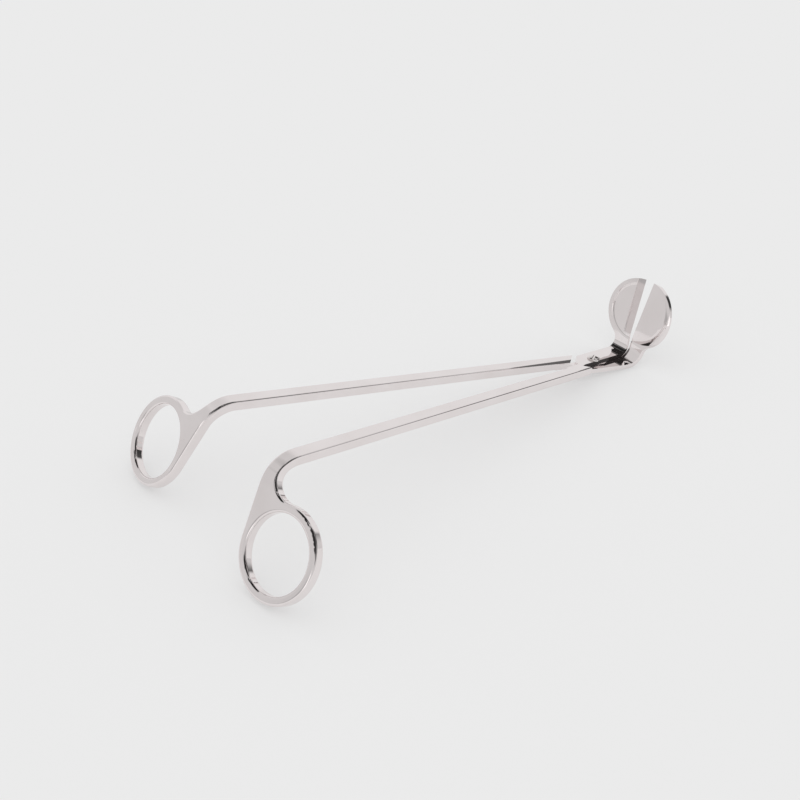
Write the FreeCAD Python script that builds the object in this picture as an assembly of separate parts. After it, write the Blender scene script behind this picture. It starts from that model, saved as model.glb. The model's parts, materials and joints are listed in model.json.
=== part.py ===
import FreeCAD, Part
import math
import os

# Wick trimmer, in millimetres and degrees. Two steel levers cross at one pivot screw.
#
# Tool frame, used while the levers are made: the tool is closed, the pivot axis is Z through the
# origin, Z = 0 is the arms' top face, and +X runs from the finger rings to the blades.
# Each lever is drawn with its arm on the +Y side and its blade on the -Y side.
# The upper lever is the mirror image of that drawing.
#
# Row frame, used for the finished solids: the opened tool lies on the plane Z = 0 on both finger
# rings and on the lower neck, with its origin under the middle of its bounding box.

# pose
HALF_OPENING = 5.82          # each arm is turned this far away from the closed tool

# arms
ARM_LENGTH = 149.3           # pivot axis to the elbow's sharp corner on the top face
ARM_OFFSET = 2.48            # centre line to the closed tool's middle plane
ARM_WIDTH = 4.7              # at the elbow
ARM_WIDTH_AT_LAP = 4.0
TAPER_BLEND = 800.0          # radius where the taper starts
ARM_HEIGHT = 3.15
ARM_EDGE = 0.45              # rounding of the long edges

# elbow and finger ring
ELBOW_TURN = 69.1            # angle between the arm's top face and the ring's front face
ELBOW_RADIUS = 12.0          # on the outside of the bend
RING_THICKNESS = 3.6
RING_HOLE_RADIUS = 11.6
RING_OUTER_RADIUS = 14.4
RING_DROP = 22.2             # elbow corner to ring centre, down the ring's plane
RING_SIDE = 14.8             # arm's centre line to ring centre, sideways
WEB_FILLET = 7.3             # between the arm's outer side and the ring
WEB_HEEL = 3.0               # where the web's inner edge turns outwards, down from the elbow corner
HEEL_RADIUS = 25.0
HOLE_EDGE = 0.9              # rounding of the finger hole's edges
RING_EDGE = 0.9              # rounding of the ring's outline, which the arm's grows into round the bend

CHAMFER_START = -55.0        # where the chamfer on the inner top edge begins
CHAMFER_END = -5.0
CHAMFER_SIZE = 0.9           # at its end
CHAMFER_LIFT = 0.2           # how far it starts above the edge, so that it runs out to nothing

# half-lap joint at the pivot
LAP_LEVEL = -1.5             # underside of the upper lever's plate
LAP_GAP = 0.05               # between the two plates
SHOULDER_LINE = -10.65       # x - y along the edge of the full-height arm
PLATE_LINE = -8.95           # x + y along the heel of the half-height plate
PLATE_HALF_WIDTH = 4.3
PLATE_ROOT = -16.0           # where the plate's solid starts, inside the arm
PLATE_CORNER = 1.5           # radius of the heel's outer corner
PLATE_SIDE_START = -8.0      # where its outer side leaves the arm's
PLATE_SIDE = ((8.0, 2.7, 6.0), (-1.0, 3.9, 12.0))    # corners of its outer side: x, y, radius
PLATE_FRONT = 15.0           # from here on the blade's outline shapes the neck
PLATE_FRONT_INNER = 14.5

# neck and blade
NECK_CORNER = 16.8           # pivot axis to the corner where the blade's plane meets Z = 0
BLADE_LEAN = 84.7            # blade plane above the arm plane
NECK_RADIUS = 3.0            # on the inside of the bend
BLADE_RADIUS = 12.1
BLADE_CENTRE = 15.5          # neck corner to blade centre, along the blade
BLADE_SHIFT = 0.64           # blade centre past the middle plane
NECK_TO_DISC = 4.0           # fillet between the neck's outer side and the half disc
UPPER_THICKNESS = 0.8        # of the upper blade
LOWER_THICKNESS = 1.7        # of the lower blade, inside its rolled shoulder
DISH_DEPTH = 0.2             # of the shallow dish in the upper blade
DISH_FLOOR_RADIUS = 9.7
DISH_TOP_RADIUS = 10.6
SHOULDER_RADIUS = 10.4       # where the lower blade's face starts to roll back, about a shifted centre
SHOULDER_RISE = 0.9          # that centre, up from the blade centre
SHOULDER_SHIFT = 1.3         # and towards the cutting edge
SHOULDER_WIDTH = 3.4
SHOULDER_DEPTH = 1.4
SHOULDER_START = 11.5        # below the blade centre by this much the neck keeps its full thickness
SHOULDER_RAMP = 15.0         # slope at which the shoulder deepens from there
BLADE_GAP = 0.1              # between the two blades as they pass
LOWER_CUT = (1.85, 0.9)      # foot and tip of the lower cutting edge, past the middle plane
UPPER_CUT = (0.78, -0.15)
BEVEL_WIDTH = 2.9
BEVEL_RUNOUT = 2.0           # how far the bevel's wedge reaches past the edge
CUT_LAND = 0.1               # thickness left at a cutting edge
CUT_FOOT = 7.0               # where the straight cutting edge starts, along the blade
CUT_TIP = 27.0
NECK_INNER = 1.7             # the neck's inner edge, past the middle plane
NECK_FLARE = 6.0             # length over which that edge runs into the cutting edge

# pivot screw
SHANK_RADIUS = 1.5
SHANK_CLEARANCE = 0.05       # in the upper lever
SCREW_HEAD_RADIUS = 2.25
SCREW_HEAD_HEIGHT = 1.1
SCREW_HEAD_GAP = 0.05
SCREW_RIM = 0.45             # share of the head's height that is its upright rim
SCREW_BULGE = (0.62, 0.72)   # a point of the dome, as shares of its radius and of its rise
SLOT_WIDTH = 0.8
SLOT_DEPTH = 0.55
SLOT_ANGLE = 35.0

BLADE_STOCK = 40.0           # length of the blade's blank before its outline is cut
FAR = 60.0                   # reaches past anything that a tool has to cut
TILT_LIMIT = 30.0            # search range and steps for the resting tilt
TILT_STEPS = 24


def vec(x, y=0.0, z=0.0):
    return FreeCAD.Vector(x, y, z)


def rounded_outline(corners):
    """A closed face in the XY plane through (x, y, radius) corners, each rounded by a tangent arc."""
    starts = []
    middles = []
    ends = []
    for i, (x, y, radius) in enumerate(corners):
        here = vec(x, y)
        if radius == 0:
            starts.append(here)
            middles.append(here)
            ends.append(here)
            continue
        back = vec(*corners[i - 1][:2]) - here
        ahead = vec(*corners[(i + 1) % len(corners)][:2]) - here
        back.normalize()
        ahead.normalize()
        half = back.getAngle(ahead) / 2
        reach = radius / math.tan(half)
        starts.append(here + back * reach)
        ends.append(here + ahead * reach)
        inward = (back + ahead).normalize()
        middles.append(here + inward * (radius / math.sin(half) - radius))
    edges = []
    for i, (x, y, radius) in enumerate(corners):
        if radius > 0:
            edges.append(Part.Arc(starts[i], middles[i], ends[i]).toShape())
        following = starts[(i + 1) % len(corners)]
        if (following - ends[i]).Length > 1e-6:
            edges.append(Part.LineSegment(ends[i], following).toShape())
    return Part.Face(Part.Wire(edges))


def side_slab(corners, low_y, high_y):
    """A profile of (x, z, radius) corners, drawn across the tool, from low_y to high_y."""
    face = rounded_outline(corners)
    face.rotate(vec(0, 0), vec(1, 0), 90)
    face.translate(vec(0, low_y))
    return face.extrude(vec(0, high_y - low_y))


def frame_at(origin, x_axis, z_axis):
    """The placement whose local X, Y and Z lie along x_axis, the tool's Y, and z_axis."""
    y_axis = z_axis.cross(x_axis)
    matrix = FreeCAD.Matrix(
        x_axis.x, y_axis.x, z_axis.x, origin.x,
        x_axis.y, y_axis.y, z_axis.y, origin.y,
        x_axis.z, y_axis.z, z_axis.z, origin.z,
        0, 0, 0, 1)
    return FreeCAD.Placement(matrix)


def placed(shape, placement):
    moved = shape.copy()
    moved.transformShape(placement.toMatrix())
    return moved


# Ring plane: local X runs down the ring from the elbow corner, local Z goes into its back.
elbow = math.radians(ELBOW_TURN)
ring_down = vec(-math.cos(elbow), 0, -math.sin(elbow))
ring_back = vec(math.sin(elbow), 0, -math.cos(elbow))
ring_frame = frame_at(vec(-ARM_LENGTH, ARM_OFFSET), ring_down, ring_back)

# Blade plane: local X runs up the blade from the neck corner, local Z points back to the rings.
lean = math.radians(BLADE_LEAN)
blade_up = vec(math.cos(lean), 0, math.sin(lean))
blade_front = vec(-math.sin(lean), 0, math.cos(lean))
blade_frame = frame_at(vec(NECK_CORNER, 0), blade_up, blade_front)


def ring_outline():
    """The web and the ring as one face in the ring plane, with the finger hole left solid."""
    half = ARM_WIDTH / 2
    centre = vec(RING_DROP, RING_SIDE)
    # inner edge: a straight line from the arm's inner side, tangent to the ring
    heel = vec(WEB_HEEL, -half)
    to_centre = centre - heel
    tangent_length = math.sqrt(to_centre.Length ** 2 - RING_OUTER_RADIUS ** 2)
    bearing = math.atan2(to_centre.y, to_centre.x) - math.asin(RING_OUTER_RADIUS / to_centre.Length)
    inner_edge = vec(math.cos(bearing), math.sin(bearing))
    inner_tangent = heel + inner_edge * tangent_length
    heel_reach = HEEL_RADIUS * math.tan(bearing / 2)
    heel_start = heel - vec(heel_reach, 0)
    heel_end = heel + inner_edge * heel_reach
    heel_middle = heel_start + vec(math.sin(bearing / 2), 1 - math.cos(bearing / 2)) * HEEL_RADIUS
    # outer edge: a concave fillet between the arm's outer side and the ring
    fillet_y = half + WEB_FILLET
    reach = RING_OUTER_RADIUS + WEB_FILLET
    fillet_x = RING_DROP - math.sqrt(reach ** 2 - (RING_SIDE - fillet_y) ** 2)
    fillet_centre = vec(fillet_x, fillet_y)
    to_ring = (centre - fillet_centre).normalize()
    outer_tangent = fillet_centre + to_ring * WEB_FILLET
    fillet_start = vec(fillet_x, half)
    fillet_middle = fillet_centre + (to_ring + vec(0, -1)).normalize() * WEB_FILLET
    root = -ELBOW_RADIUS
    away = (centre * 2 - inner_tangent - outer_tangent).normalize()
    far_side = centre + away * RING_OUTER_RADIUS
    edges = [
        Part.LineSegment(vec(root, -half), heel_start).toShape(),
        Part.Arc(heel_start, heel_middle, heel_end).toShape(),
        Part.LineSegment(heel_end, inner_tangent).toShape(),
        Part.Arc(inner_tangent, far_side, outer_tangent).toShape(),
        Part.Arc(outer_tangent, fillet_middle, fillet_start).toShape(),
        Part.LineSegment(fillet_start, vec(root, half)).toShape(),
        Part.LineSegment(vec(root, half), vec(root, -half)).toShape(),
    ]
    return Part.Face(Part.Wire(edges))


def elbow_and_ring():
    """The bend and the ring: a bent slab, trimmed to the web's outline, with the finger hole cut."""
    bend_end = -ARM_LENGTH + ELBOW_RADIUS * math.tan(elbow / 2)
    length = RING_DROP + RING_OUTER_RADIUS + 5
    front_end = vec(-ARM_LENGTH, 0) + ring_down * length
    back_end = front_end + ring_back * RING_THICKNESS
    corner_along = (ARM_HEIGHT - RING_THICKNESS * math.cos(elbow)) / math.sin(elbow)
    corner = vec(-ARM_LENGTH, 0) + ring_down * corner_along + ring_back * RING_THICKNESS
    inner_radius = (bend_end - corner.x) / math.tan(elbow / 2)
    profile = [
        (bend_end, 0, 0),
        (-ARM_LENGTH, 0, ELBOW_RADIUS),
        (front_end.x, front_end.z, 0),
        (back_end.x, back_end.z, 0),
        (corner.x, corner.z, inner_radius),
        (bend_end, -ARM_HEIGHT, 0),
    ]
    slab = side_slab(profile, -FAR, FAR)
    web = ring_outline().extrude(vec(0, 0, 2 * FAR))
    web.translate(vec(0, 0, -FAR))
    body = slab.common(placed(web, ring_frame))
    hole_start = vec(RING_DROP, RING_SIDE, -RING_THICKNESS)
    hole = Part.makeCylinder(RING_HOLE_RADIUS, 3 * RING_THICKNESS, hole_start)
    return body.cut(placed(hole, ring_frame)), bend_end


def arm(bend_end):
    """The bar from the elbow to its shoulder at the lap joint, tapering slightly."""
    inner_root = ARM_OFFSET - ARM_WIDTH / 2
    outer_root = ARM_OFFSET + ARM_WIDTH / 2
    inner_lap = ARM_OFFSET - ARM_WIDTH_AT_LAP / 2
    outer_lap = ARM_OFFSET + ARM_WIDTH_AT_LAP / 2
    taper_start = bend_end + ELBOW_RADIUS
    corners = [
        (bend_end, inner_root, 0),
        (taper_start, inner_root, TAPER_BLEND),
        (SHOULDER_LINE + inner_lap, inner_lap, 0),
        (SHOULDER_LINE + outer_lap, outer_lap, 0),
        (taper_start, outer_root, TAPER_BLEND),
        (bend_end, outer_root, 0),
    ]
    return rounded_outline(corners).extrude(vec(0, 0, -ARM_HEIGHT))


def plate_plan():
    """The half-height plate and the neck seen from above."""
    width = PLATE_HALF_WIDTH
    outer_side = ARM_OFFSET + ARM_WIDTH_AT_LAP / 2
    inner_side = ARM_OFFSET - ARM_WIDTH_AT_LAP / 2
    corners = [
        (PLATE_ROOT, inner_side, 0),
        (PLATE_LINE - inner_side, inner_side, 0),
        (PLATE_LINE + width, -width, PLATE_CORNER),
        (PLATE_FRONT, -width, 0),
        (PLATE_FRONT, -FAR, 0),
        (FAR, -FAR, 0),
        (FAR, FAR, 0),
        (PLATE_FRONT_INNER, FAR, 0),
        (PLATE_FRONT_INNER, NECK_INNER, 0),
        *PLATE_SIDE,
        (PLATE_SIDE_START, outer_side, 0),
        (PLATE_ROOT, outer_side, 0),
    ]
    return rounded_outline(corners)


def cut_line(cut_foot_y, cut_tip_y):
    """The cutting edge's direction and its point at the foot, in the blade plane."""
    run = vec(CUT_TIP - CUT_FOOT, cut_tip_y - cut_foot_y).normalize()
    return vec(CUT_FOOT, cut_foot_y), run


def blade_column(cut):
    """The outline of the neck's end and the half disc, as a solid that reaches far both ways along Z."""
    foot, run = cut_line(*cut)
    disc = Part.makeCylinder(BLADE_RADIUS, 2 * FAR, vec(BLADE_CENTRE, BLADE_SHIFT, -FAR))
    neck_foot = vec(-FAR, -PLATE_HALF_WIDTH, -FAR)
    neck = Part.makeBox(FAR + BLADE_CENTRE, PLATE_HALF_WIDTH + NECK_INNER, 2 * FAR, neck_foot)
    beyond = foot + run * FAR
    waste = rounded_outline([
        (foot.x - NECK_FLARE, NECK_INNER, 0),
        (foot.x, foot.y, 0),
        (beyond.x, beyond.y, 0),
        (beyond.x, FAR, 0),
        (foot.x - NECK_FLARE, FAR, 0),
    ]).extrude(vec(0, 0, 2 * FAR))
    waste.translate(vec(0, 0, -FAR))
    blank = disc.fuse(neck).cut(waste).removeSplitter()

    def in_corner(edge, middle):
        return abs(middle.y + PLATE_HALF_WIDTH) < 0.01 and 0 < middle.x < BLADE_CENTRE and abs(middle.z) < 1

    return placed(round_where(blank, NECK_TO_DISC, in_corner), blade_frame)


def arc_height(along, width, depth):
    """The height at `along` of an arc that leaves the level and climbs `depth` over `width`."""
    radius = (width ** 2 + depth ** 2) / (2 * depth)
    return radius - math.sqrt(radius ** 2 - along ** 2)


def dish_tool():
    """What hollows out the dish: a shallow pan turned about the blade's centre, floor at Z = 0."""
    width = DISH_TOP_RADIUS - DISH_FLOOR_RADIUS
    floor_edge = vec(DISH_FLOOR_RADIUS, 0, 0)
    rim_edge = vec(DISH_TOP_RADIUS, 0, DISH_DEPTH)
    middle = vec(DISH_FLOOR_RADIUS + width / 2, 0, arc_height(width / 2, width, DISH_DEPTH))
    top = 4 * DISH_DEPTH
    edges = [
        Part.LineSegment(vec(0, 0, 0), floor_edge).toShape(),
        Part.Arc(floor_edge, middle, rim_edge).toShape(),
        Part.LineSegment(rim_edge, vec(DISH_TOP_RADIUS, 0, top)).toShape(),
        Part.LineSegment(vec(DISH_TOP_RADIUS, 0, top), vec(0, 0, top)).toShape(),
        Part.LineSegment(vec(0, 0, top), vec(0, 0, 0)).toShape(),
    ]
    pan = Part.Face(Part.Wire(edges)).revolve(vec(0, 0, 0), vec(0, 0, 1), 360)
    pan.translate(vec(BLADE_CENTRE, BLADE_SHIFT))
    return pan


def shoulder_tool():
    """What rolls the lower blade's face back towards its outline, with that face at Z = 0."""
    inner = vec(SHOULDER_RADIUS, 0, 0)
    half = SHOULDER_WIDTH / 2
    middle = vec(SHOULDER_RADIUS + half, 0, -arc_height(half, SHOULDER_WIDTH, SHOULDER_DEPTH))
    outer = vec(SHOULDER_RADIUS + SHOULDER_WIDTH, 0, -SHOULDER_DEPTH)
    far = SHOULDER_RADIUS + 2 * SHOULDER_WIDTH
    edges = [
        Part.Arc(inner, middle, outer).toShape(),
        Part.LineSegment(outer, vec(far, 0, -SHOULDER_DEPTH)).toShape(),
        Part.LineSegment(vec(far, 0, -SHOULDER_DEPTH), vec(far, 0, 1)).toShape(),
        Part.LineSegment(vec(far, 0, 1), vec(SHOULDER_RADIUS, 0, 1)).toShape(),
        Part.LineSegment(vec(SHOULDER_RADIUS, 0, 1), inner).toShape(),
    ]
    ring = Part.Face(Part.Wire(edges)).revolve(vec(0, 0, 0), vec(0, 0, 1), 360)
    ring.translate(vec(BLADE_CENTRE + SHOULDER_RISE, BLADE_SHIFT + SHOULDER_SHIFT))
    # a slanted face starts it gently, and leaves the neck below the disc its full thickness
    start_level = BLADE_CENTRE - SHOULDER_START
    above_neck = Part.makeBox(4 * FAR, 4 * FAR, 4 * FAR, vec(start_level, -2 * FAR, -2 * FAR))
    above_neck.rotate(vec(start_level), vec(0, 1), SHOULDER_RAMP - 90)
    return ring.common(above_neck)


def bevel_tool(cut, edge_level, face_level):
    """The wedge ground off beside the cutting edge, from edge_level there to face_level inside."""
    foot, run = cut_line(*cut)
    outward = vec(-run.y, run.x)
    slope = (face_level - edge_level) / BEVEL_WIDTH
    clear_level = face_level + math.copysign(3, face_level - edge_level)
    inside = foot - outward * BEVEL_WIDTH
    outside = foot + outward * BEVEL_RUNOUT
    corners = [
        inside + vec(0, 0, face_level),
        outside + vec(0, 0, edge_level - slope * BEVEL_RUNOUT),
        outside + vec(0, 0, clear_level),
        inside + vec(0, 0, clear_level),
    ]
    section = Part.Face(Part.makePolygon(corners + corners[:1]))
    return section.extrude(run * FAR)


def bent_plate(low_z, high_z, back_level, front_level):
    """The lap plate, the neck's bend and the blade's blank, before their outlines are cut."""
    def corner(z, level):
        along = (z - level * math.cos(lean)) / math.sin(lean)
        return vec(NECK_CORNER, 0) + blade_up * along + blade_front * level

    inside = corner(high_z, front_level)
    outside = corner(low_z, back_level)
    top = BLADE_STOCK
    front_top = vec(NECK_CORNER, 0) + blade_up * top + blade_front * front_level
    back_top = vec(NECK_CORNER, 0) + blade_up * top + blade_front * back_level
    inner = NECK_RADIUS - high_z
    outer = inner + (high_z - low_z)
    profile = [
        (PLATE_ROOT, high_z, 0),
        (inside.x, inside.z, inner),
        (front_top.x, front_top.z, 0),
        (back_top.x, back_top.z, 0),
        (outside.x, outside.z, outer),
        (PLATE_ROOT, low_z, 0),
    ]
    slab = side_slab(profile, -FAR, FAR)
    plan = plate_plan().extrude(vec(0, 0, 4 * FAR))
    plan.translate(vec(0, 0, -2 * FAR))
    return slab.common(plan)


def lower_blade_and_plate():
    """The lower lever's plate, neck and blade. Its blade passes behind the upper one."""
    front = -UPPER_THICKNESS - BLADE_GAP
    back = front - LOWER_THICKNESS
    body = bent_plate(-ARM_HEIGHT, LAP_LEVEL - LAP_GAP, back, front)
    body = body.common(blade_column(LOWER_CUT))
    shoulder = shoulder_tool()
    shoulder.translate(vec(0, 0, front))
    bevel = bevel_tool(LOWER_CUT, front - CUT_LAND, back)
    return body.cut(placed(shoulder, blade_frame)).cut(placed(bevel, blade_frame))


def upper_blade_and_plate():
    """The upper lever's plate, neck and blade, in the same hand as the lower one."""
    back = -UPPER_THICKNESS
    body = bent_plate(LAP_LEVEL, 0, back, 0)
    body = body.common(blade_column(UPPER_CUT))
    pan = dish_tool()
    pan.translate(vec(0, 0, -DISH_DEPTH))
    bevel = bevel_tool(UPPER_CUT, back + CUT_LAND, -DISH_DEPTH)
    return body.cut(placed(pan, blade_frame)).cut(placed(bevel, blade_frame))


def round_where(shape, radius, chosen):
    """Rounds the edges whose middle point passes the test."""
    edges = []
    for edge in shape.Edges:
        middle = edge.valueAt((edge.FirstParameter + edge.LastParameter) / 2)
        if chosen(edge, middle):
            edges.append(edge)
    return shape.makeFillet(radius, edges)


def round_growing(shape, chosen, radius_at):
    """Rounds edges with a radius that changes along each one, as radius_at gives it for a point."""
    document = FreeCAD.newDocument("rounding")
    base = document.addObject("Part::Feature", "base")
    base.Shape = shape
    rounded = document.addObject("Part::Fillet", "rounded")
    rounded.Base = base
    radii = []
    for number, edge in enumerate(shape.Edges, 1):
        middle = edge.valueAt((edge.FirstParameter + edge.LastParameter) / 2)
        if chosen(edge, middle):
            first = radius_at(edge.valueAt(edge.FirstParameter))
            last = radius_at(edge.valueAt(edge.LastParameter))
            radii.append((number, first, last))
    rounded.Edges = radii
    document.recompute()
    result = rounded.Shape.copy()
    FreeCAD.closeDocument(document.Name)
    return result


def grip():
    """The arm, the elbow and the finger ring, with the long edges and the ring's edges rounded."""
    ring, bend_end = elbow_and_ring()
    body = ring.fuse(arm(bend_end)).removeSplitter()
    inverse = ring_frame.inverse()

    def on_hole(edge, middle):
        spot = inverse.multVec(middle)
        distance = math.hypot(spot.x - RING_DROP, spot.y - RING_SIDE)
        return spot.x > 2 and distance < RING_HOLE_RADIUS + 0.1

    def along_outline(edge, middle):
        start = edge.Vertexes[0].Point
        end = edge.Vertexes[-1].Point
        run = end - start
        through = run.cross(ring_back).Length < 1e-3 or run.cross(vec(0, 0, 1)).Length < 1e-3
        crosswise = run.cross(vec(0, 1)).Length < 1e-3
        at_shoulder = min(start.x, end.x) > -20
        closed = len(edge.Vertexes) == 1
        return closed or not (through or crosswise or at_shoulder)

    def outer(edge, middle):
        return along_outline(edge, middle) and not on_hole(edge, middle)

    def radius_at(point):
        share = (bend_end - point.x) / (ELBOW_RADIUS * math.sin(elbow))
        return ARM_EDGE + (RING_EDGE - ARM_EDGE) * min(max(share, 0), 1)

    body = round_where(body, HOLE_EDGE, on_hole)
    return round_growing(body, outer, radius_at)


def inner_chamfer():
    """What is ground off the arm's inner top edge: nothing at first, widening to the shoulder."""
    edge_y = ARM_OFFSET - ARM_WIDTH_AT_LAP / 2
    sections = []
    for x, size in ((CHAMFER_START, -CHAMFER_LIFT), (CHAMFER_END, CHAMFER_SIZE)):
        above = vec(x, edge_y + size + 1, 1)
        beside = vec(x, edge_y - 1, -size - 1)
        corner = vec(x, edge_y - 1, 1)
        sections.append(Part.makePolygon([above, corner, beside, above]))
    return Part.makeLoft(sections, True)


def lower_lever():
    """The threaded lever. The pivot screw is held in it."""
    body = grip().cut(inner_chamfer()).fuse(lower_blade_and_plate()).removeSplitter()
    bore = Part.makeCylinder(SHANK_RADIUS, 2 * ARM_HEIGHT, vec(0, 0, -1.5 * ARM_HEIGHT))
    return body.cut(bore)


def upper_lever():
    """The lever that turns on the screw's shank."""
    body = grip().cut(inner_chamfer()).fuse(upper_blade_and_plate()).removeSplitter()
    bore = Part.makeCylinder(SHANK_RADIUS + SHANK_CLEARANCE, 2 * ARM_HEIGHT, vec(0, 0, -ARM_HEIGHT))
    return body.cut(bore).mirror(vec(0, 0), vec(0, 1))


def pivot_screw():
    """A slotted screw with a low domed head. Its shank ends flush with the lower lever."""
    rim = SCREW_RIM * SCREW_HEAD_HEIGHT
    under = SCREW_HEAD_GAP
    edge = vec(SCREW_HEAD_RADIUS, 0, under)
    shoulder = vec(SCREW_HEAD_RADIUS, 0, under + rim)
    crown = vec(0, 0, under + SCREW_HEAD_HEIGHT)
    bulge_rise = SCREW_BULGE[1] * (SCREW_HEAD_HEIGHT - rim)
    bulge = vec(SCREW_BULGE[0] * SCREW_HEAD_RADIUS, 0, under + rim + bulge_rise)
    edges = [
        Part.LineSegment(vec(0, 0, -ARM_HEIGHT), vec(SHANK_RADIUS, 0, -ARM_HEIGHT)).toShape(),
        Part.LineSegment(vec(SHANK_RADIUS, 0, -ARM_HEIGHT), vec(SHANK_RADIUS, 0, under)).toShape(),
        Part.LineSegment(vec(SHANK_RADIUS, 0, under), edge).toShape(),
        Part.LineSegment(edge, shoulder).toShape(),
        Part.Arc(shoulder, bulge, crown).toShape(),
        Part.LineSegment(crown, vec(0, 0, -ARM_HEIGHT)).toShape(),
    ]
    body = Part.Face(Part.Wire(edges)).revolve(vec(0, 0), vec(0, 0, 1), 360)
    floor = under + SCREW_HEAD_HEIGHT - SLOT_DEPTH
    slot_start = vec(-2 * SCREW_HEAD_RADIUS, -SLOT_WIDTH / 2, floor)
    slot = Part.makeBox(4 * SCREW_HEAD_RADIUS, SLOT_WIDTH, 2 * SLOT_DEPTH, slot_start)
    slot.rotate(vec(0, 0), vec(0, 0, 1), SLOT_ANGLE)
    return body.cut(slot)


def lowest(shape, tilt):
    turned = shape.copy()
    turned.rotate(vec(0, 0), vec(0, 1), tilt)
    return turned.optimalBoundingBox(False, False).ZMin


def resting_tilt(lever):
    """How far the tool tips forward, about Y, until its rings and its lower neck are level."""
    block = Part.makeBox(4 * FAR, 4 * FAR, 4 * FAR, vec(0, -2 * FAR, -2 * FAR))
    neck_end = lever.common(block)
    block.translate(vec(-ARM_LENGTH - 3.5 * FAR))
    ring_end = lever.common(block)
    low = 0.0
    high = TILT_LIMIT
    for step in range(TILT_STEPS):
        tilt = (low + high) / 2
        if lowest(ring_end, tilt) > lowest(neck_end, tilt):
            high = tilt
        else:
            low = tilt
    return tilt


os.makedirs("parts", exist_ok=True)

nodes = {
    "lower_lever": lower_lever(),
    "upper_lever": upper_lever(),
    "pivot_screw": pivot_screw(),
}
openings = {"lower_lever": -HALF_OPENING, "upper_lever": HALF_OPENING, "pivot_screw": -HALF_OPENING}
for name, turn in openings.items():
    nodes[name].rotate(vec(0, 0), vec(0, 0, 1), turn)
tip = resting_tilt(nodes["lower_lever"])
for shape in nodes.values():
    shape.rotate(vec(0, 0), vec(0, 1), tip)

box = Part.makeCompound(list(nodes.values())).optimalBoundingBox(False, False)
to_base = vec(-(box.XMin + box.XMax) / 2, -(box.YMin + box.YMax) / 2, -box.ZMin)
for name, shape in nodes.items():
    shape.translate(to_base)
    shape.exportStep("parts/" + name + ".step")

axis = vec(math.sin(math.radians(tip)), 0, math.cos(math.radians(tip)))
print("tilt", round(tip, 4))
print("pivot at", [round(v, 4) for v in to_base], "axis", [round(v, 6) for v in axis])
print("box", [round(v, 3) for v in (box.XLength, box.YLength, box.ZLength)])
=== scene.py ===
import json
import math
import bpy
from mathutils import Matrix, Vector

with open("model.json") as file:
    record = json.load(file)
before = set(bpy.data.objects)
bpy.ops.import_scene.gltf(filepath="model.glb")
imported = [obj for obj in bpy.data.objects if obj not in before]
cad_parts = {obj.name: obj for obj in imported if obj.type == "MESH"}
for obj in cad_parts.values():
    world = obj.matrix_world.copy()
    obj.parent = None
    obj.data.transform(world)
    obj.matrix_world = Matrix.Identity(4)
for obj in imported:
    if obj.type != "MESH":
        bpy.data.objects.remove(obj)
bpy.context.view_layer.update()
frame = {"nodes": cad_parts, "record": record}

# Lengths are in metres and angles in degrees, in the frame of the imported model: +X runs from the
# finger rings to the blades, +Z is up, and the tool lies on Z = 0.
# Studio azimuths run clockwise from above: 0 is +Y, behind the tool, and 90 is +X.

# camera
CAMERA_AZIMUTH = -39.06       # of the line from the camera to the tool, 0 looks along +Y
CAMERA_ELEVATION = 33.58
CAMERA_ROLL = 2.57
CAMERA_DISTANCE = 0.461
CAMERA_LENS = 62.9
CAMERA_SENSOR = 36
CAMERA_CLIP = 0.01
AIM = Vector((-0.00757, 0.01369, 0.00932))

# floor
FLOOR_HALF = 3.0
FLOOR_COLOUR = (0.47, 0.47, 0.47, 1)
FLOOR_GLOW = 0.36             # lifts the soft shadows, as a lit table does
FLOOR_ROUGHNESS = 0.9

# the dull area of floor to the left, which only polished surfaces see
CARD_LOW = (-1.30, 0.065)
CARD_HIGH = (0.06, 0.90)
CARD_HEIGHT = 0.001
CARD_LIGHT = 0.70

# world: its light on the floor, and its brightness where it shows past the floor's edge
WORLD_LIGHT = 1.0
WORLD_SEEN = 0.83

# dome
DOME_RADIUS = 1.5
DOME_STEP = 2                 # degrees between the dome's vertices
BASE_LIGHT = 0.68
# name, azimuth, elevation, half width, half height, edge softness, brightness
PATCHES = (
    ("backdrop", 45, 10, 60, 26, 8, 0.84),
    ("back wall left", -45, 0, 25, 16, 6, 0.70),
    ("left wall", -80, -4, 14, 16, 4, 0.46),
    ("overhead gap", 0, 69, 90, 14, 2, 0.02),
    ("overhead gap left", -62, 58, 20, 12, 3, 0.02),
    ("room", 180, 62, 75, 22, 5, 0.03),
    ("room wall", 165, 34, 45, 10, 5, 0.16),
    ("right flag", 108, 20, 16, 12, 5, 0.05),
    ("left softbox", -112, 6, 10, 12, 4, 1.25),
)

# metals: colour where the polish is clean, colour where it is hazy
LEVER_CLEAN = (0.875, 0.825, 0.822, 1)
LEVER_HAZY = (0.835, 0.780, 0.775, 1)
SCREW_CLEAN = (0.86, 0.82, 0.81, 1)
SCREW_HAZY = (0.74, 0.69, 0.68, 1)

# the finish both metals share: noise scales per metre, and how much finer detail each noise has
HAZE_SCALE = 90
HAZE_DETAIL = 4
WAVE_SCALE = 110
WAVE_DETAIL = 1
LINE_SCALE = 1                # the lines' size is set by their stretch
LINE_DETAIL = 3
LINE_ROUGHNESS = (0.8, 1.3)   # what the lines multiply the haze's roughness by
NOISE_SPREAD = (0.3, 0.7)     # most of a noise's values lie between these
NO_STRETCH = (1, 1, 1)

WHITE = (1, 1, 1, 1)


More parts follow.
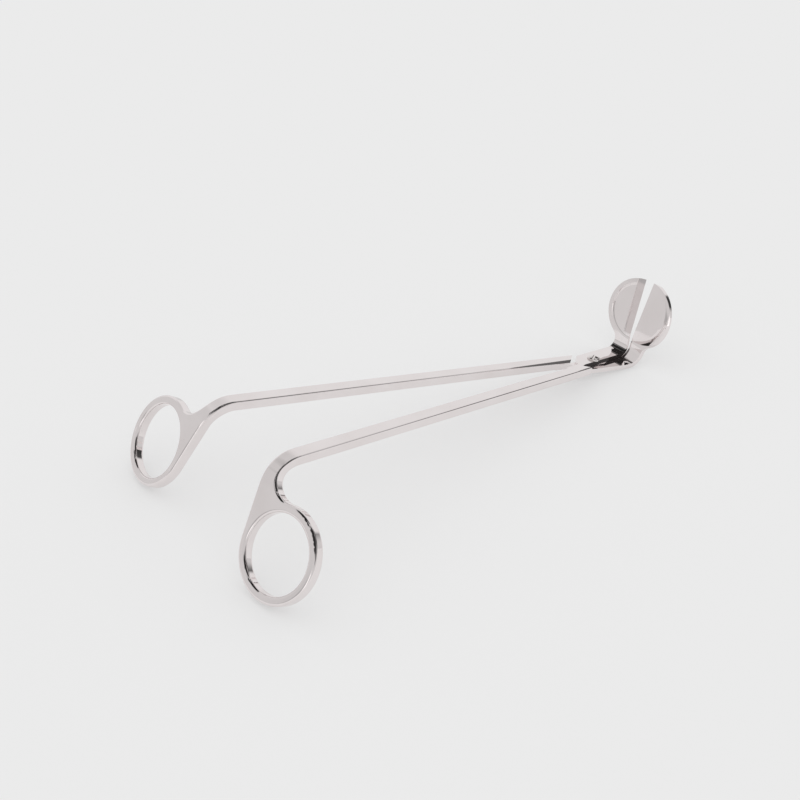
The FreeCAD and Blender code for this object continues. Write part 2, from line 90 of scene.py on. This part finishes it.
def make_camera():
    azimuth = math.radians(CAMERA_AZIMUTH)
    elevation = math.radians(CAMERA_ELEVATION)
    back = Vector((
        math.sin(azimuth) * math.cos(elevation),
        -math.cos(azimuth) * math.cos(elevation),
        math.sin(elevation)))
    right = (-back).cross(Vector((0, 0, 1))).normalized()
    up = right.cross(-back)
    turn = Matrix((right, up, back)).transposed().to_4x4()
    roll = Matrix.Rotation(math.radians(CAMERA_ROLL), 4, "Z")
    camera = bpy.data.objects.new("camera", bpy.data.cameras.new("camera"))
    bpy.context.scene.collection.objects.link(camera)
    camera.matrix_world = Matrix.Translation(AIM + back * CAMERA_DISTANCE) @ turn @ roll
    camera.data.lens = CAMERA_LENS
    camera.data.sensor_width = CAMERA_SENSOR
    camera.data.clip_start = CAMERA_CLIP
    bpy.context.scene.camera = camera


def new_mesh(name, points, faces):
    mesh = bpy.data.meshes.new(name)
    mesh.from_pydata(points, [], faces)
    piece = bpy.data.objects.new(name, mesh)
    bpy.context.scene.collection.objects.link(piece)
    return piece


def rectangle(name, low, high, height):
    points = [
        (low[0], low[1], height),
        (high[0], low[1], height),
        (high[0], high[1], height),
        (low[0], high[1], height),
    ]
    return new_mesh(name, points, [(0, 1, 2, 3)])


def new_material(name):
    material = bpy.data.materials.new(name)
    material.use_nodes = True
    return material


def make_floor():
    floor = rectangle("floor", (-FLOOR_HALF, -FLOOR_HALF), (FLOOR_HALF, FLOOR_HALF), 0)
    material = new_material("floor")
    shader = material.node_tree.nodes["Principled BSDF"]
    shader.inputs["Base Color"].default_value = FLOOR_COLOUR
    shader.inputs["Roughness"].default_value = FLOOR_ROUGHNESS
    shader.inputs["Specular IOR Level"].default_value = 0
    shader.inputs["Emission Color"].default_value = WHITE
    shader.inputs["Emission Strength"].default_value = FLOOR_GLOW
    floor.data.materials.append(material)


def make_glow(name):
    """A plain emission material. Returns it with its emission node."""
    material = new_material(name)
    nodes = material.node_tree.nodes
    nodes.clear()
    output = nodes.new("ShaderNodeOutputMaterial")
    emission = nodes.new("ShaderNodeEmission")
    material.node_tree.links.new(emission.outputs["Emission"], output.inputs["Surface"])
    return material, emission


def only_in_reflections(piece):
    """Stages a piece that neither the camera nor a matt surface sees, and that casts no shadow."""
    piece.visible_camera = False
    piece.visible_diffuse = False
    piece.visible_shadow = False
    piece.visible_transmission = False


def make_card():
    card = rectangle("floor_card", CARD_LOW, CARD_HIGH, CARD_HEIGHT)
    material, emission = make_glow("floor_card")
    emission.inputs["Strength"].default_value = CARD_LIGHT
    card.data.materials.append(material)
    only_in_reflections(card)


def smooth_step(low, high, value):
    share = min(max((value - low) / (high - low), 0), 1)
    return share * share * (3 - 2 * share)


def studio_light(azimuth, elevation):
    """The dome's brightness in one direction: the base, with each patch laid over the ones before it."""
    level = BASE_LIGHT
    for _, mid_azimuth, mid_elevation, half_width, half_height, softness, brightness in PATCHES:
        across = abs((azimuth - mid_azimuth + 180) % 360 - 180) - half_width
        along = abs(elevation - mid_elevation) - half_height
        cover = 1 - smooth_step(-softness, softness, max(across, along))
        level += (brightness - level) * cover
    return level


def make_dome():
    """A dome that only polished surfaces see: soft boxes, dark flags and the unlit room."""
    points = []
    levels = []
    columns = 360 // DOME_STEP
    rows = 180 // DOME_STEP + 1
    for row in range(rows):
        elevation = -90 + row * DOME_STEP
        flat = DOME_RADIUS * math.cos(math.radians(elevation))
        height = DOME_RADIUS * math.sin(math.radians(elevation))
        for column in range(columns):
            azimuth = column * DOME_STEP
            turn = math.radians(azimuth)
            points.append((flat * math.sin(turn), flat * math.cos(turn), height))
            levels.append(studio_light(azimuth, elevation))
    faces = []
    for row in range(rows - 1):
        for column in range(columns):
            beside = (column + 1) % columns
            faces.append((
                row * columns + column, row * columns + beside,
                (row + 1) * columns + beside, (row + 1) * columns + column))
    dome = new_mesh("studio_dome", points, faces)
    light = dome.data.attributes.new("light", "FLOAT", "POINT")
    light.data.foreach_set("value", levels)
    material, emission = make_glow("studio_dome")
    attribute = material.node_tree.nodes.new("ShaderNodeAttribute")
    attribute.attribute_name = "light"
    material.node_tree.links.new(attribute.outputs["Fac"], emission.inputs["Strength"])
    dome.data.materials.append(material)
    only_in_reflections(dome)


def make_world():
    """White light from all round, which the camera sees dimmed to the floor's own brightness."""
    world = bpy.data.worlds.new("world")
    world.use_nodes = True
    nodes = world.node_tree.nodes
    background = nodes["Background"]
    background.inputs["Color"].default_value = WHITE
    rays = nodes.new("ShaderNodeLightPath")
    strength = nodes.new("ShaderNodeMapRange")
    strength.inputs["To Min"].default_value = WORLD_LIGHT
    strength.inputs["To Max"].default_value = WORLD_SEEN
    world.node_tree.links.new(rays.outputs["Is Camera Ray"], strength.inputs["Value"])
    world.node_tree.links.new(strength.outputs["Result"], background.inputs["Strength"])
    bpy.context.scene.world = world
    bpy.context.scene.view_settings.view_transform = "Standard"


def noise(material, stretch, scale, detail):
    """Noise in the piece's own coordinates. stretch squeezes it along X, Y and Z."""
    nodes = material.node_tree.nodes
    links = material.node_tree.links
    place = nodes.new("ShaderNodeTexCoord")
    mapping = nodes.new("ShaderNodeMapping")
    mapping.inputs["Scale"].default_value = stretch
    texture = nodes.new("ShaderNodeTexNoise")
    texture.inputs["Scale"].default_value = scale
    texture.inputs["Detail"].default_value = detail
    links.new(place.outputs["Object"], mapping.inputs["Vector"])
    links.new(mapping.outputs["Vector"], texture.inputs["Vector"])
    return texture.outputs["Fac"]


def remap(material, value, low, high):
    """A noise's value spread over low to high."""
    node = material.node_tree.nodes.new("ShaderNodeMapRange")
    node.inputs["From Min"].default_value = NOISE_SPREAD[0]
    node.inputs["From Max"].default_value = NOISE_SPREAD[1]
    node.inputs["To Min"].default_value = low
    node.inputs["To Max"].default_value = high
    material.node_tree.links.new(value, node.inputs["Value"])
    return node.outputs["Result"]


def add_bump(material, height, distance, under=None):
    node = material.node_tree.nodes.new("ShaderNodeBump")
    node.inputs["Strength"].default_value = 1
    node.inputs["Distance"].default_value = distance
    material.node_tree.links.new(height, node.inputs["Height"])
    if under is not None:
        material.node_tree.links.new(under, node.inputs["Normal"])
    return node.outputs["Normal"]


def polished_metal(name, clean, hazy, roughness, wave_depth, line_stretch, line_depth):
    """Buffed metal: hazy patches, fine lines left by the wheel, and a slight waviness."""
    material = new_material(name)
    nodes = material.node_tree.nodes
    links = material.node_tree.links
    shader = nodes["Principled BSDF"]
    shader.inputs["Metallic"].default_value = 1
    haze = noise(material, NO_STRETCH, HAZE_SCALE, HAZE_DETAIL)
    lines = noise(material, line_stretch, LINE_SCALE, LINE_DETAIL)
    waves = noise(material, NO_STRETCH, WAVE_SCALE, WAVE_DETAIL)
    tint = nodes.new("ShaderNodeMix")
    tint.data_type = "RGBA"
    tint.inputs["A"].default_value = clean
    tint.inputs["B"].default_value = hazy
    links.new(remap(material, haze, 0, 1), tint.inputs["Factor"])
    links.new(tint.outputs["Result"], shader.inputs["Base Color"])
    rough = nodes.new("ShaderNodeMath")
    rough.operation = "MULTIPLY"
    links.new(remap(material, haze, *roughness), rough.inputs[0])
    links.new(remap(material, lines, *LINE_ROUGHNESS), rough.inputs[1])
    links.new(rough.outputs["Value"], shader.inputs["Roughness"])
    wavy = add_bump(material, waves, wave_depth)
    links.new(add_bump(material, lines, line_depth, wavy), shader.inputs["Normal"])
    return material


def lever_steel():
    """The levers' bright plate, buffed lengthwise."""
    return polished_metal(
        "polished_steel", LEVER_CLEAN, LEVER_HAZY, roughness=(0.02, 0.05),
        wave_depth=0.00002, line_stretch=(120, 2600, 2600), line_depth=0.0000008)


def screw_steel():
    """The screw's harder, less finely finished steel, with lines from turning."""
    return polished_metal(
        "screw_steel", SCREW_CLEAN, SCREW_HAZY, roughness=(0.07, 0.16),
        wave_depth=0.00001, line_stretch=(2200, 2200, 300), line_depth=0.0000015)


make_camera()
make_world()
make_floor()
make_card()
make_dome()
metals = {"polished_steel": lever_steel(), "screw_steel": screw_steel()}
for subpart in frame["record"]["subparts"]:
    slots = frame["nodes"][subpart["node"]].data.materials
    slots.clear()
    slots.append(metals[subpart["material_slot"]])
